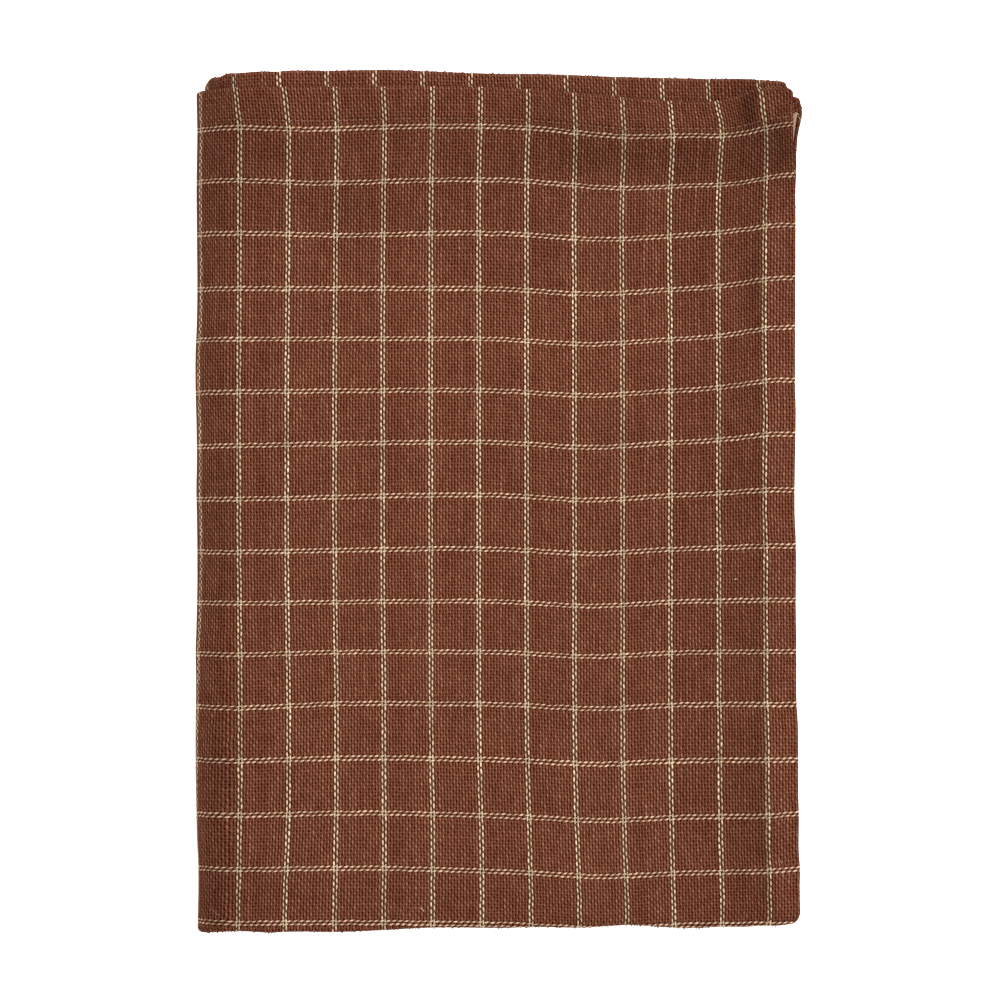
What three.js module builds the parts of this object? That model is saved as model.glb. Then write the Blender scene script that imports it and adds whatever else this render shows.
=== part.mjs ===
// A coarse checked tablecloth, folded into a flat stack, with a short plain tape sewn into its side hem.
// Millimetres. X runs across the stack, Y along it, Z up from the table, origin under the stack's middle.
//
// The cloth is one thin sheet. It is folded twice across its width into a band of four plies, which are
// ply a (its hem at the far edge), near fold, ply b, far fold, ply c, near fold, ply d (hem at the far edge).
// That band is then folded three times along its length into eight passes that lie in one stack.
import * as THREE from 'three';

// Cloth
const clothThickness = 1.0;
const clothColour = '#6f4030';
const clothRoughness = 0.95;

// Hem along the far edge of the top ply
const hem = { depth: 11.5, raise: 0.6, step: 1.2, softEdge: 4.0 };

// Spacing of the plies in a band and of the bands in the stack
const plyPitch = 1.14;
const passPitch = 4.56;
const bandHalf = 1.5 * plyPitch + clothThickness / 2;

// Passes of the band in the order in which it runs. The first starts at a free end on the right.
// level counts from the table. near and far say how far the folds stand back from those on top.
const passes = [
  { level: 7, near: 0.0, far: 0.0 },
  { level: 0, near: 1.2, far: 1.5 },
  { level: 3, near: 0.7, far: 2.4 },
  { level: 4, near: 1.7, far: 0.9 },
  { level: 5, near: 0.9, far: 1.9 },
  { level: 2, near: 1.9, far: 1.1 },
  { level: 1, near: 1.1, far: 2.2 },
  { level: 6, near: 0.6, far: 0.8 },
];

// Turns between the passes, by turns on the left and on the right. x is the middle of their arcs.
const stackLeft = -125.2;
const leftFold = { reach: 16.4, pointed: 1.5, droop: 0.14 };
const leftTurn = { x: stackLeft + leftFold.reach, steps: 6, outerSteps: 12 };
const rightTurns = {
  afterPass1: { x: 112.4, steps: 5 },
  afterPass3: { x: 117.0, steps: 4 },
  afterPass5: { x: 112.4, steps: 5 },
};
const turns = [
  leftTurn,
  rightTurns.afterPass1,
  leftTurn,
  rightTurns.afterPass3,
  leftTurn,
  rightTurns.afterPass5,
  leftTurn,
];
const lastPassEnd = 122.4;

// Outlines of the top pass, seen from above
const hemEdge = [
  { x: -125.2, y: 170.5 },
  { x: -111.4, y: 172.4 },
  { x: -7.7, y: 172.7 },
  { x: 31.1, y: 170.3 },
  { x: 70.2, y: 166.9 },
  { x: 90.6, y: 166.6 },
  { x: 101.5, y: 169.0 },
  { x: 112.7, y: 172.1 },
  { x: 123.6, y: 172.0 },
];
const farFoldEdge = [
  { x: -122.0, y: 173.4 },
  { x: -118.0, y: 176.2 },
  { x: -112.0, y: 178.1 },
  { x: -73.1, y: 179.5 },
  { x: -30.6, y: 179.1 },
  { x: 0.7, y: 177.8 },
  { x: 51.5, y: 176.7 },
  { x: 106.9, y: 175.8 },
  { x: 118.7, y: 174.4 },
  { x: 123.6, y: 171.5 },
];
const nearFoldEdge = [
  { x: -125.2, y: -178.0 },
  { x: -119.4, y: -179.3 },
  { x: -68.1, y: -179.4 },
  { x: -31.9, y: -177.7 },
  { x: 31.9, y: -177.8 },
  { x: 59.0, y: -176.8 },
  { x: 84.0, y: -177.5 },
  { x: 114.5, y: -176.6 },
  { x: 119.4, y: -176.1 },
  { x: 123.6, y: -174.4 },
];
const sideHemEdge = [
  { y: -175.0, x: 125.2 },
  { y: -153.6, x: 125.4 },
  { y: -132.8, x: 124.8 },
  { y: -94.0, x: 124.8 },
  { y: -57.8, x: 123.7 },
  { y: 139.9, x: 123.6 },
  { y: 156.4, x: 122.6 },
  { y: 162.0, x: 123.0 },
  { y: 172.0, x: 122.2 },
];
const sideHemX = 123.6;

// The left fold bulges a little here and there
const leftBulge = [
  { y: -178.0, out: 0.2 },
  { y: -153.6, out: 0.0 },
  { y: -124.4, out: 0.6 },
  { y: -99.4, out: 1.1 },
  { y: -28.6, out: 0.3 },
  { y: 50.6, out: 0.9 },
  { y: 84.0, out: 0.2 },
  { y: 170.0, out: 0.2 },
];

// The far edges under the top hem: its twin in the same band, and the hems of the hidden passes
const twinHem = { back: 1.6, cornerBack: 4.1, cornerFrom: 108.0, cornerTo: 121.0 };
const hiddenHemBack = 6.5;
const askewCorner = { out: 3.1, y: 161.5, spread: 7.0 };

// How far the plies' free ends stand back from that of ply a
const plyBack = { a: 0, b: 1.0, c: 0.8, d: 0.5 };

// The stack is a little fuller towards its edges. Each slope is straight.
const fullness = {
  left: { from: -68.1, to: leftTurn.x, share: 0.02 },
  right: { from: 71.5, to: sideHemX, share: 0.01 },
  near: { from: -124.4, to: -178.0, share: 0.02 },
  far: { from: 111.0, to: 178.0, share: 0.01 },
};

// Soft rises of the top ply, on both sides of a dent at the far right. The right one is over the tape.
const rises = [
  { x: [106.0, 113.0], y: [113.0, 136.0], height: 1.3 },
  { x: [64.0, 84.0], xEnd: [96.0, 103.0], y: [146.0, 156.0], height: 0.8 },
];

// Tape sewn into the side hem, a little turned
const tab = { width: 8.5, length: 25.0, thickness: 0.5, x: 119.65, y: 149.8, turn: -0.055, lift: 0.32 };
const tabColour = '#bca48c';

// Places where the sheet has points: across the top pass and the hidden passes, along ply a and the others
const topPassX = [sideHemX, 120.6, 117.0, 113.0, 106.5, 102.5, 96.5, 86.0, 71.5, 51.5, 31.1, -7.7, -68.1];
const hiddenPassX = [71.5, -68.1];
const plyAY = [136.5, 111.0, 42.2, -41.1, -124.4, -153.6];
const hiddenPlyY = [111.0, -124.4];
const cornerY = [161.5, 154.0, 145.0];
const foldSteps = { wide: 4, tight: 3 };

const lerp = THREE.MathUtils.lerp;
const smoothstep = THREE.MathUtils.smoothstep;

// A smooth curve through the points of a table
function along(table, from, to, at) {
  const last = table.length - 1;
  if (at <= table[0][from]) return table[0][to];
  if (at >= table[last][from]) return table[last][to];
  const i = table.findIndex((row, k) => at < table[k + 1][from]);
  const slope = (k) => {
    if (k === 0 || k === last) return 0;
    return (table[k + 1][to] - table[k - 1][to]) / (table[k + 1][from] - table[k - 1][from]);
  };
  const span = table[i + 1][from] - table[i][from];
  const rise = table[i + 1][to] - table[i][to];
  const t = (at - table[i][from]) / span;
  const leave = slope(i) * span - rise;
  const arrive = rise - slope(i + 1) * span;
  return table[i][to] + t * rise + t * (1 - t) * (leave * (1 - t) + arrive * t);
}

const passZ = (k) => bandHalf + passes[k].level * passPitch;
const stackMiddle = (passZ(0) + passZ(1)) / 2;
const outerRadius = stackMiddle;
// Odd and even passes run in opposite directions, so the band's face side is up in one and down in the other
const faceUp = (k) => (k % 2 === 0 ? 1 : -1);

// Stops along the band, from its first free end to its last
function bandStops() {
  const stops = [];
  passes.forEach((pass, k) => {
    const right = k === passes.length - 1 ? lastPassEnd : turns[k % 2 === 0 ? k - 1 : k]?.x;
    const places = k === 0 ? [...topPassX] : [right, ...hiddenPassX];
    places.push(leftTurn.x);
    if (faceUp(k) < 0) places.reverse();
    places.forEach((x) => {
      const top = k === 0 ? 1 : 0;
      stops.push({ x, z: passZ(k), nx: 0, nz: faceUp(k), near: pass.near, far: pass.far, top, onTop: k === 0 });
    });
    if (k < turns.length) stops.push(...turnStops(k));
  });
  return stops;
}

// Stops around the turn after pass k
function turnStops(k) {
  const side = turns[k] === leftTurn ? -1 : 1;
  const start = Math.sign(passZ(k) - passZ(k + 1));
  const radius = Math.abs(passZ(k) - passZ(k + 1)) / 2;
  const middle = (passZ(k) + passZ(k + 1)) / 2;
  const faceOut = start * faceUp(k);
  const steps = k === 0 ? turns[k].outerSteps : turns[k].steps;
  const stops = [];
  for (let step = 1; step < steps; step += 1) {
    const share = step / steps;
    const outX = side * Math.sin(share * Math.PI);
    const outZ = start * Math.cos(share * Math.PI);
    stops.push({
      x: turns[k].x + radius * outX,
      z: middle + radius * outZ,
      nx: faceOut * outX,
      nz: faceOut * outZ,
      near: lerp(passes[k].near, passes[k + 1].near, share),
      far: lerp(passes[k].far, passes[k + 1].far, share),
      top: k === 0 ? 1 - smoothstep(share, 0.4, 1) : 0,
      bulge: k === 0 ? Math.sin(share * Math.PI) : 0,
    });
  }
  return stops;
}

// Places across the band, from the hem of ply a to the hem of ply d. edge and dy give Y, n is the height
// in the band, and (outY, outN) points out of the cloth's face side.
function bandColumns() {
  const columns = [];
  const ply = (name, n, outN, edges) => {
    edges.forEach((edge) => columns.push({ name, n, dy: 0, outY: 0, outN, edge, back: plyBack[name] }));
  };
  // A fold round the height n. way is -1 at the near edge, turn is 1 if it starts at its top, and
  // face is 1 where the face side is outside.
  const fold = (n, radius, edge, turn, face, steps, backs) => {
    const way = edge === 'near' ? -1 : 1;
    for (let step = 1; step < steps; step += 1) {
      const share = step / steps;
      const cos = turn * Math.cos(share * Math.PI);
      const sin = way * Math.sin(share * Math.PI);
      const back = lerp(plyBack[backs[0]], plyBack[backs[1]], share);
      columns.push({
        name: backs,
        n: n + radius * cos,
        dy: radius * sin,
        outY: face * sin,
        outN: face * cos,
        edge,
        back,
      });
    }
  };
  const upwards = [...hiddenPlyY].reverse();
  const corner = [...cornerY].reverse();
  ply('a', 1.5 * plyPitch, 1, ['hem', 'hemSoft', 'hemLine', 'hemFoot', ...plyAY, 'near']);
  fold(0, 1.5 * plyPitch, 'near', 1, 1, foldSteps.wide, 'ab');
  ply('b', -1.5 * plyPitch, -1, ['near', ...upwards, 'far']);
  fold(-plyPitch, 0.5 * plyPitch, 'far', -1, 1, foldSteps.tight, 'bc');
  ply('c', -0.5 * plyPitch, 1, ['far', ...hiddenPlyY, 'near']);
  fold(0, 0.5 * plyPitch, 'near', -1, -1, foldSteps.wide, 'cd');
  ply('d', 0.5 * plyPitch, -1, ['near', ...upwards, ...corner, 'twinHem']);
  return columns;
}

// Where the band's edges lie at a stop
function edgesAt(stop) {
  const far = along(farFoldEdge, 'x', 'y', stop.x) - stop.far;
  const hemY = lerp(far - hiddenHemBack, along(hemEdge, 'x', 'y', stop.x), stop.top);
  const corner = smoothstep(stop.x, twinHem.cornerFrom, twinHem.cornerTo) * stop.top;
  return {
    near: along(nearFoldEdge, 'x', 'y', stop.x) + stop.near + bandHalf,
    far: far - plyPitch / 2 - clothThickness / 2,
    hem: hemY,
    hemSoft: hemY - hem.softEdge,
    hemLine: hemY - hem.depth,
    hemFoot: hemY - hem.depth - hem.step,
    twinHem: hemY - lerp(twinHem.back, twinHem.cornerBack, corner),
  };
}

function slope(edge, at) {
  return edge.share * THREE.MathUtils.clamp((at - edge.from) / (edge.to - edge.from), 0, 1.2);
}

// Height of the stack at a place, as a share of its plain height
function heightShare(x, y) {
  const droop = leftFold.droop * Math.max(0, (leftTurn.x - x) / leftFold.reach);
  return (
    1 +
    slope(fullness.left, x) +
    slope(fullness.right, x) +
    slope(fullness.near, y) +
    slope(fullness.far, y) -
    droop
  );
}

// The nested turns on the left are pressed from round into pointed ones
function pressed(x, z) {
  if (x >= leftTurn.x) return { x, z };
  const power = leftFold.pointed;
  const dx = leftTurn.x - x;
  const dz = z - stackMiddle;
  const radius = Math.hypot(dx, dz);
  const squeeze = radius / (dx ** power + Math.abs(dz) ** power) ** (1 / power);
  return {
    x: leftTurn.x - (dx * squeeze * leftFold.reach) / outerRadius,
    z: stackMiddle + dz * squeeze,
  };
}

function riseAt(x, y) {
  return rises.reduce((sum, rise) => {
    const end = rise.xEnd ? 1 - smoothstep(x, ...rise.xEnd) : 1;
    return sum + rise.height * smoothstep(x, ...rise.x) * end * smoothstep(y, ...rise.y);
  }, 0);
}

// The point of the sheet at a stop and a column, on the face side (1) or the back (-1)
function sheetPoint(stop, column, side) {
  const edges = edgesAt(stop);
  const half = (side * clothThickness) / 2;
  const n = column.n + half * column.outN;
  const atHem = ['hem', 'hemSoft', 'hemLine'].includes(column.edge);
  let y = typeof column.edge === 'number' ? column.edge : edges[column.edge] + column.dy;
  y = y + half * column.outY;
  let { x, z } = pressed(stop.x + n * stop.nx, stop.z + n * stop.nz);
  if (stop.onTop && x > fullness.right.from) {
    const askew = askewCorner.out * Math.exp(-(((y - askewCorner.y) / askewCorner.spread) ** 2));
    const edgeX = along(sideHemEdge, 'y', 'x', y) - column.back + (column.name === 'd' ? askew : 0);
    const share = (x - fullness.right.from) / (sideHemX - fullness.right.from);
    x = lerp(fullness.right.from, edgeX, share);
  }
  z *= heightShare(x, y);
  if (column.name === 'a' && stop.onTop) {
    z += riseAt(x, y) + (atHem && side > 0 ? hem.raise : 0);
  }
  if (column.name === 'a' && stop.bulge) {
    x -= stop.bulge * along(leftBulge, 'y', 'out', y);
  }
  return new THREE.Vector3(x, y, z);
}

// One closed body from a grid of points with two sides, joined by a rim all round
function sheetGeometry(stops, columns) {
  const rows = stops.length;
  const width = columns.length;
  const positions = [];
  [1, -1].forEach((side) => {
    stops.forEach((stop) => {
      columns.forEach((column) => positions.push(...sheetPoint(stop, column, side).toArray()));
    });
  });
  const at = (side, row, column) => (side > 0 ? 0 : rows * width) + row * width + column;
  const indices = [];
  const quad = (a, b, c, d) => indices.push(a, b, c, a, c, d);
  for (let r = 0; r < rows - 1; r += 1) {
    for (let c = 0; c < width - 1; c += 1) {
      quad(at(1, r, c), at(1, r + 1, c), at(1, r + 1, c + 1), at(1, r, c + 1));
      quad(at(-1, r, c), at(-1, r, c + 1), at(-1, r + 1, c + 1), at(-1, r + 1, c));
    }
  }
  for (let r = 0; r < rows - 1; r += 1) {
    quad(at(1, r, 0), at(-1, r, 0), at(-1, r + 1, 0), at(1, r + 1, 0));
    quad(at(1, r, width - 1), at(1, r + 1, width - 1), at(-1, r + 1, width - 1), at(-1, r, width - 1));
  }
  for (let c = 0; c < width - 1; c += 1) {
    quad(at(1, 0, c), at(1, 0, c + 1), at(-1, 0, c + 1), at(-1, 0, c));
    quad(at(1, rows - 1, c), at(-1, rows - 1, c), at(-1, rows - 1, c + 1), at(1, rows - 1, c + 1));
  }
  const geometry = new THREE.BufferGeometry();
  geometry.setAttribute('position', new THREE.Float32BufferAttribute(positions, 3));
  geometry.setIndex(indices);
  geometry.computeVertexNormals();
  return geometry;
}

function makeCloth() {
  const material = new THREE.MeshStandardMaterial({ color: clothColour, roughness: clothRoughness });
  const mesh = new THREE.Mesh(sheetGeometry(bandStops(), bandColumns()), material);
  mesh.name = 'tablecloth';
  return mesh;
}

// The tape lies between ply a and ply d, and its outer edge shows past the hem
function makeTab() {
  const material = new THREE.MeshStandardMaterial({ color: tabColour, roughness: clothRoughness });
  const mesh = new THREE.Mesh(new THREE.BoxGeometry(tab.width, tab.length, tab.thickness), material);
  const plyTop = (passZ(0) + 0.5 * plyPitch + clothThickness / 2) * heightShare(tab.x, tab.y);
  mesh.position.set(tab.x, tab.y, plyTop + tab.lift + tab.thickness / 2);
  mesh.rotation.z = tab.turn;
  mesh.name = 'side_tab';
  return mesh;
}

const stack = new THREE.Group();
stack.add(makeCloth(), makeTab());

// Centre the stack over the origin
const box = new THREE.Box3().setFromObject(stack, true);
const middle = box.getCenter(new THREE.Vector3());
stack.position.set(-middle.x, -middle.y, 0);
stack.updateMatrixWorld(true);

export default stack;
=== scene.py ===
import math

import bpy
import numpy as np
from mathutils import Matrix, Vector


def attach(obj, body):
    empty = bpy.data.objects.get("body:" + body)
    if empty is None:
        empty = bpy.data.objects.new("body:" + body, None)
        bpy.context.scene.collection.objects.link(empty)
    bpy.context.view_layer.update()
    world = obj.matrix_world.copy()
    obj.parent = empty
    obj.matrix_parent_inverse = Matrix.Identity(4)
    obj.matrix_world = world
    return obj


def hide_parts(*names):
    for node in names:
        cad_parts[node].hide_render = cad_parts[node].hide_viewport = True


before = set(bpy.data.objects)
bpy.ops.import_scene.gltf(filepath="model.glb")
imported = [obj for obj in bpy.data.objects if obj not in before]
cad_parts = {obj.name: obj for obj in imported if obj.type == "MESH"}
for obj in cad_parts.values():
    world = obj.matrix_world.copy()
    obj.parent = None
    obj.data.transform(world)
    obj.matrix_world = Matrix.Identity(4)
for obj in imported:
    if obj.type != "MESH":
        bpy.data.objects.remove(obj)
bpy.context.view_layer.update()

# A coarse woven tablecloth with a thin cream check, folded into a flat stack and seen from above.
# Sizes are in millimetres, on the folded stack's own axes: X across it, Y along it, Z up.
# A mesh is in metres, and the frame's origin is a little beside the one of these axes.
metres = 0.001
origin = {"x": 0.243, "y": 0.053}


def linear(hexColour):
    channels = [int(hexColour[k : k + 2], 16) / 255 for k in (1, 3, 5)]
    return [c / 12.92 if c <= 0.04045 else ((c + 0.055) / 1.055) ** 2.4 for c in channels] + [1.0]


def addNode(tree, kind, inputs=(), **settings):
    # Adds a node. Its inputs are numbers, colours, sockets or nodes, by place or by name.
    made = tree.nodes.new(kind)
    for name, value in settings.items():
        setattr(made, name, value)
    pairs = inputs.items() if isinstance(inputs, dict) else enumerate(inputs)
    for place, value in pairs:
        if isinstance(value, bpy.types.Node):
            value = value.outputs[0]
        if isinstance(value, bpy.types.NodeSocket):
            tree.links.new(value, made.inputs[place])
        else:
            made.inputs[place].default_value = value
    return made


def newMaterial(name):
    material = bpy.data.materials.new(name)
    material.use_nodes = True
    material.node_tree.nodes.clear()
    return material, material.node_tree


def shadeWith(tree, look):
    shader = addNode(tree, "ShaderNodeBsdfPrincipled", look)
    addNode(tree, "ShaderNodeOutputMaterial", (shader,))


def newObject(name, mesh):
    made = bpy.data.objects.new(name, mesh)
    bpy.context.scene.collection.objects.link(made)
    return made


# Yarn-dyed cotton, hand-loomed as an open plain weave of thick, uneven yarns. The eye sees matt brown
# columns of warp with dark holes beside them, and cream dashes where two cream yarns come to the top.
# Pitches and the relief are in millimetres. Widths, heights and wandering are shares of the spacing, a
# noise's scale is for each yarn, and tones are shares of the yarn's own brightness.
weave = {
    "endPitch": 1.25,
    "pickPitch": 1.384,
    "repeat": 16,
    "creamYarns": 2,
    "creamThin": 0.9,
    "relief": 0.3,
    "wander": 0.5,
    "wanderScale": 0.3,
    "crimp": 0.28,
    "roundness": 0.2,
    "leastProfile": 0.03,
    "crownFrom": 0.9,
    "holeBelow": 0.02,
    "fuzz": 0.16,
    "fuzzScale": 5.0,
    "cloudTone": 0.05,
    "cloudNoise": (0.3, 0.7),
    "cloudScale": 0.06,
    "brownEnd": "#966651",
    "brownPick": "#804c36",
    "creamEnd": "#fbd9b8",
    "creamPick": "#f4c8ad",
    "oliveEnd": "#805539",
    "olivePick": "#6e5233",
    "brownShadow": "#4a1400",
    "creamShadow": "#6a4526",
    "crossing": "#e2cba6",
    # The hole colour is painted shade: the shaded ply seen between the yarns
    "holeShade": "#461000",
}
slubs = {"along": 0.16, "apart": 7.31, "noise": (0.25, 0.75), "width": 0.18, "tone": 0.2, "dashTone": 0.2}
endYarns = {
    "phase": 0.25,
    "width": 0.265,
    "lean": 0.04,
    "proud": 0.06,
    "dip": (-0.6, 0.6),
    "dipShade": 0.45,
    "sideShade": 0.3,
    "vary": 0.2,
    "seed": 3.7,
}
pickYarns = {
    "phase": -0.25,
    "width": 0.26,
    "lean": -0.2,
    "proud": 0.0,
    "dip": (-0.5, 0.7),
    "dipShade": 0.3,
    "sideShade": 0.4,
    "vary": 0.05,
    "seed": 11.2,
}


def around(spread):
    return 1 - spread, 1 + spread


def yarnSystem(tree, own, other, facts):
    # One of the two sets of yarns: how high it lies at each place, and how light it is
    calc = "ShaderNodeMath"
    index = addNode(tree, calc, (own,), operation="FLOOR")
    onward = addNode(tree, calc, (other, index), operation="ADD")
    halved = addNode(tree, calc, (onward, 0.5, facts["phase"]), operation="MULTIPLY_ADD")
    turned = addNode(tree, calc, (halved,), operation="FRACT")
    fromTop = addNode(tree, calc, (turned, 2.0, -1.0), operation="MULTIPLY_ADD")
    angle = addNode(tree, calc, (fromTop, math.pi), operation="MULTIPLY")
    crimp = addNode(tree, calc, (angle,), operation="COSINE")
    inCell = addNode(tree, calc, (own, index), operation="SUBTRACT")
    leaning = addNode(tree, calc, (fromTop, facts["lean"], inCell), operation="MULTIPLY_ADD")
    across = addNode(tree, calc, (leaning, 0.5), operation="SUBTRACT")

    # Slubs: each yarn is thicker and thinner along its length, and lighter and darker
    slow = addNode(tree, calc, (other, slubs["along"]), operation="MULTIPLY")
    apart = addNode(tree, calc, (index, slubs["apart"]), operation="MULTIPLY")
    place = addNode(tree, "ShaderNodeCombineXYZ", (apart, slow, facts["seed"]))
    slub = addNode(tree, "ShaderNodeTexNoise", {"Vector": place, "Scale": 1.0, "Detail": 2.0})
    fromSlub = (slub.outputs["Fac"], *slubs["noise"])
    widths = [facts["width"] * (1 + way * slubs["width"]) for way in (-1, 1)]
    width = addNode(tree, "ShaderNodeMapRange", (*fromSlub, *widths))
    inRepeat = addNode(tree, calc, (index, float(weave["repeat"])), operation="FLOORED_MODULO")
    cream = addNode(tree, calc, (inRepeat, weave["creamYarns"] - 0.5), operation="LESS_THAN")
    thin = addNode(tree, "ShaderNodeMapRange", (cream, 0.0, 1.0, 1.0, weave["creamThin"]))
    width = addNode(tree, calc, (width, thin), operation="MULTIPLY")
    relative = addNode(tree, calc, (across, width), operation="DIVIDE")
    squared = addNode(tree, calc, (relative, relative), operation="MULTIPLY")
    left = addNode(tree, calc, (1.0, squared), operation="SUBTRACT")
    inside = addNode(tree, calc, (left, 0.0), operation="MAXIMUM")
    profile = addNode(tree, calc, (inside,), operation="SQRT")
    there = addNode(tree, calc, (profile, weave["leastProfile"]), operation="GREATER_THAN")
    lifted = addNode(tree, calc, (crimp, weave["crimp"], 0.5 + facts["proud"]), operation="MULTIPLY_ADD")
    full = addNode(tree, calc, (profile, weave["roundness"], lifted), operation="MULTIPLY_ADD")
    height = addNode(tree, calc, (full, there), operation="MULTIPLY")

    # Painted light and shade: each yarn's colour is lightest on its crown, and painted darker at its sides
    # and where it dips under the next
    dip = addNode(tree, "ShaderNodeMapRange", (crimp, *facts["dip"], facts["dipShade"], 1.0))
    sides = (profile, 0.0, weave["crownFrom"], facts["sideShade"], 1.0)
    side = addNode(tree, "ShaderNodeMapRange", sides)
    yarnPlace = addNode(tree, "ShaderNodeCombineXYZ", (index, facts["seed"], 0.0))
    ownTone = addNode(tree, "ShaderNodeTexWhiteNoise", (yarnPlace,), noise_dimensions="2D")
    ownRange = addNode(tree, "ShaderNodeMapRange", (ownTone.outputs["Value"], 0, 1, *around(facts["vary"])))
    dash = addNode(tree, calc, (halved,), operation="FLOOR")
    dashPlace = addNode(tree, "ShaderNodeCombineXYZ", (index, dash, facts["seed"]))
    dashTone = addNode(tree, "ShaderNodeTexWhiteNoise", (dashPlace,), noise_dimensions="3D")
    dashes = (dashTone.outputs["Value"], 0, 1, *around(slubs["dashTone"]))
    dashRange = addNode(tree, "ShaderNodeMapRange", dashes)
    slubTone = addNode(tree, "ShaderNodeMapRange", (*fromSlub, *around(slubs["tone"])))
    shade = dip
    for tone in (side, ownRange, slubTone, dashRange):
        shade = addNode(tree, calc, (shade, tone), operation="MULTIPLY")
    return {"height": height, "shade": shade, "cream": cream}


def wovenCotton():
    material, tree = newMaterial("yarn-dyed cotton, open plain weave")
    calc = "ShaderNodeMath"
    threads = addNode(tree, "ShaderNodeUVMap", uv_map="threads")
    soft = {"Vector": threads, "Scale": weave["wanderScale"], "Detail": 1.0}
    wander = addNode(tree, "ShaderNodeTexNoise", soft).outputs["Color"]
    centred = addNode(tree, "ShaderNodeVectorMath", (wander, (0.5, 0.5, 0.5)), operation="SUBTRACT")
    amount = (weave["wander"], weave["wander"], 0)
    moved = addNode(tree, "ShaderNodeVectorMath", (centred, amount, threads), operation="MULTIPLY_ADD")
    split = addNode(tree, "ShaderNodeSeparateXYZ", (moved,))
    u, v = split.outputs["X"], split.outputs["Y"]

    ends = yarnSystem(tree, u, v, endYarns)
    picks = yarnSystem(tree, v, u, pickYarns)

    bothCream = addNode(tree, calc, (ends["cream"], picks["cream"]), operation="MULTIPLY")
    blend = "ShaderNodeMix"
    lookOf = {}
    for name, own, other in (("End", ends, picks), ("Pick", picks, ends)):
        brown, cream = linear(weave["brown" + name]), linear(weave["cream" + name])
        near = {0: other["cream"], 6: brown, 7: linear(weave["olive" + name])}
        near = addNode(tree, blend, near, data_type="RGBA").outputs[2]
        colouring = addNode(tree, blend, {0: own["cream"], 6: near, 7: cream}, data_type="RGBA").outputs[2]
        crossed = {0: bothCream, 6: colouring, 7: linear(weave["crossing"])}
        crossed = addNode(tree, blend, crossed, data_type="RGBA").outputs[2]
        # Painted shade: where a yarn's shade is low, its colour runs down to a shadow colour
        deep = {0: own["cream"], 6: linear(weave["brownShadow"]), 7: linear(weave["creamShadow"])}
        deep = addNode(tree, blend, deep, data_type="RGBA").outputs[2]
        shaded = {0: own["shade"], 6: deep, 7: crossed}
        lookOf[name] = addNode(tree, blend, shaded, data_type="RGBA", clamp_factor=False).outputs[2]
    endOnTop = addNode(tree, calc, (ends["height"], picks["height"]), operation="GREATER_THAN")
    yarns = addNode(tree, blend, {0: endOnTop, 6: lookOf["Pick"], 7: lookOf["End"]}, data_type="RGBA")
    height = addNode(tree, calc, (ends["height"], picks["height"]), operation="MAXIMUM")
    # Painted shade: where no yarn lies, the colour is a dark brown for the shaded ply beneath
    holeShade = addNode(tree, calc, (height, weave["holeBelow"]), operation="LESS_THAN")
    withHoles = {0: holeShade, 6: yarns.outputs[2], 7: linear(weave["holeShade"])}
    holed = addNode(tree, blend, withHoles, data_type="RGBA")

    # Broad, faint changes of tone: random clouds from the dye and from handling, times the dye attribute,
    # which paints shade and light with some uneven dye
    clouds = {"Vector": threads, "Scale": weave["cloudScale"], "Detail": 3.0}
    cloudy = addNode(tree, "ShaderNodeTexNoise", clouds).outputs["Fac"]
    broad = addNode(tree, "ShaderNodeMapRange", (cloudy, *weave["cloudNoise"], *around(weave["cloudTone"])))
    colouring = addNode(tree, "ShaderNodeAttribute", attribute_name="dyeAndShade")
    tone = addNode(tree, calc, (broad, colouring.outputs["Fac"]), operation="MULTIPLY")
    toned = addNode(tree, "ShaderNodeVectorMath", {0: holed.outputs[2], 3: tone}, operation="SCALE")

    hairs = {"Vector": threads, "Scale": weave["fuzzScale"], "Detail": 3.0}
    fuzz = addNode(tree, "ShaderNodeTexNoise", hairs).outputs["Fac"]
    rough = addNode(tree, calc, (fuzz, weave["fuzz"], height), operation="MULTIPLY_ADD")
    bump = addNode(tree, "ShaderNodeBump", {"Height": rough, "Distance": weave["relief"] * metres})
    shadeWith(tree, {"Base Color": toned, "Normal": bump, "Roughness": 0.92, "Specular IOR Level": 0.0})
    return material


# Undyed cotton tape: a pale, matt, slightly pink beige, with fine low ribs across it
tapeLook = {"colour": "#cbab92", "shadow": "#a98a74", "rib": 0.55, "relief": 0.1}


def wovenTape():
    material, tree = newMaterial("undyed cotton tape")
    place = addNode(tree, "ShaderNodeTexCoord")
    scale = 0.314 / (tapeLook["rib"] * metres)  # a wave texture of scale 1 has a band every 0.314
    ribs = {"Vector": place.outputs["Object"], "Scale": scale, "Distortion": 0.6, "Detail": 1.0}
    wave = addNode(tree, "ShaderNodeTexWave", ribs, bands_direction="Y").outputs["Fac"]
    mixed = {0: wave, 6: linear(tapeLook["shadow"]), 7: linear(tapeLook["colour"])}
    mixed = addNode(tree, "ShaderNodeMix", mixed, data_type="RGBA").outputs[2]
    bump = addNode(tree, "ShaderNodeBump", {"Height": wave, "Distance": tapeLook["relief"] * metres})
    shadeWith(tree, {"Base Color": mixed, "Normal": bump, "Roughness": 0.9, "Specular IOR Level": 0.2})
    return material


# Two-ply cotton sewing thread: a little smoother than the yarns, with the twist seen as fine bands
twistsPerMm = 1.8


def sewingThread(name, light, dark):
    material, tree = newMaterial(name)
    place = addNode(tree, "ShaderNodeTexCoord")
    bands = {"Vector": place.outputs["Object"], "Scale": twistsPerMm / metres}
    twist = addNode(tree, "ShaderNodeTexNoise", bands).outputs["Fac"]
    mixed = {0: twist, 6: linear(dark), 7: linear(light)}
    mixed = addNode(tree, "ShaderNodeMix", mixed, data_type="RGBA").outputs[2]
    shadeWith(tree, {"Base Color": mixed, "Roughness": 0.8, "Specular IOR Level": 0.3})
    return material


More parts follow.
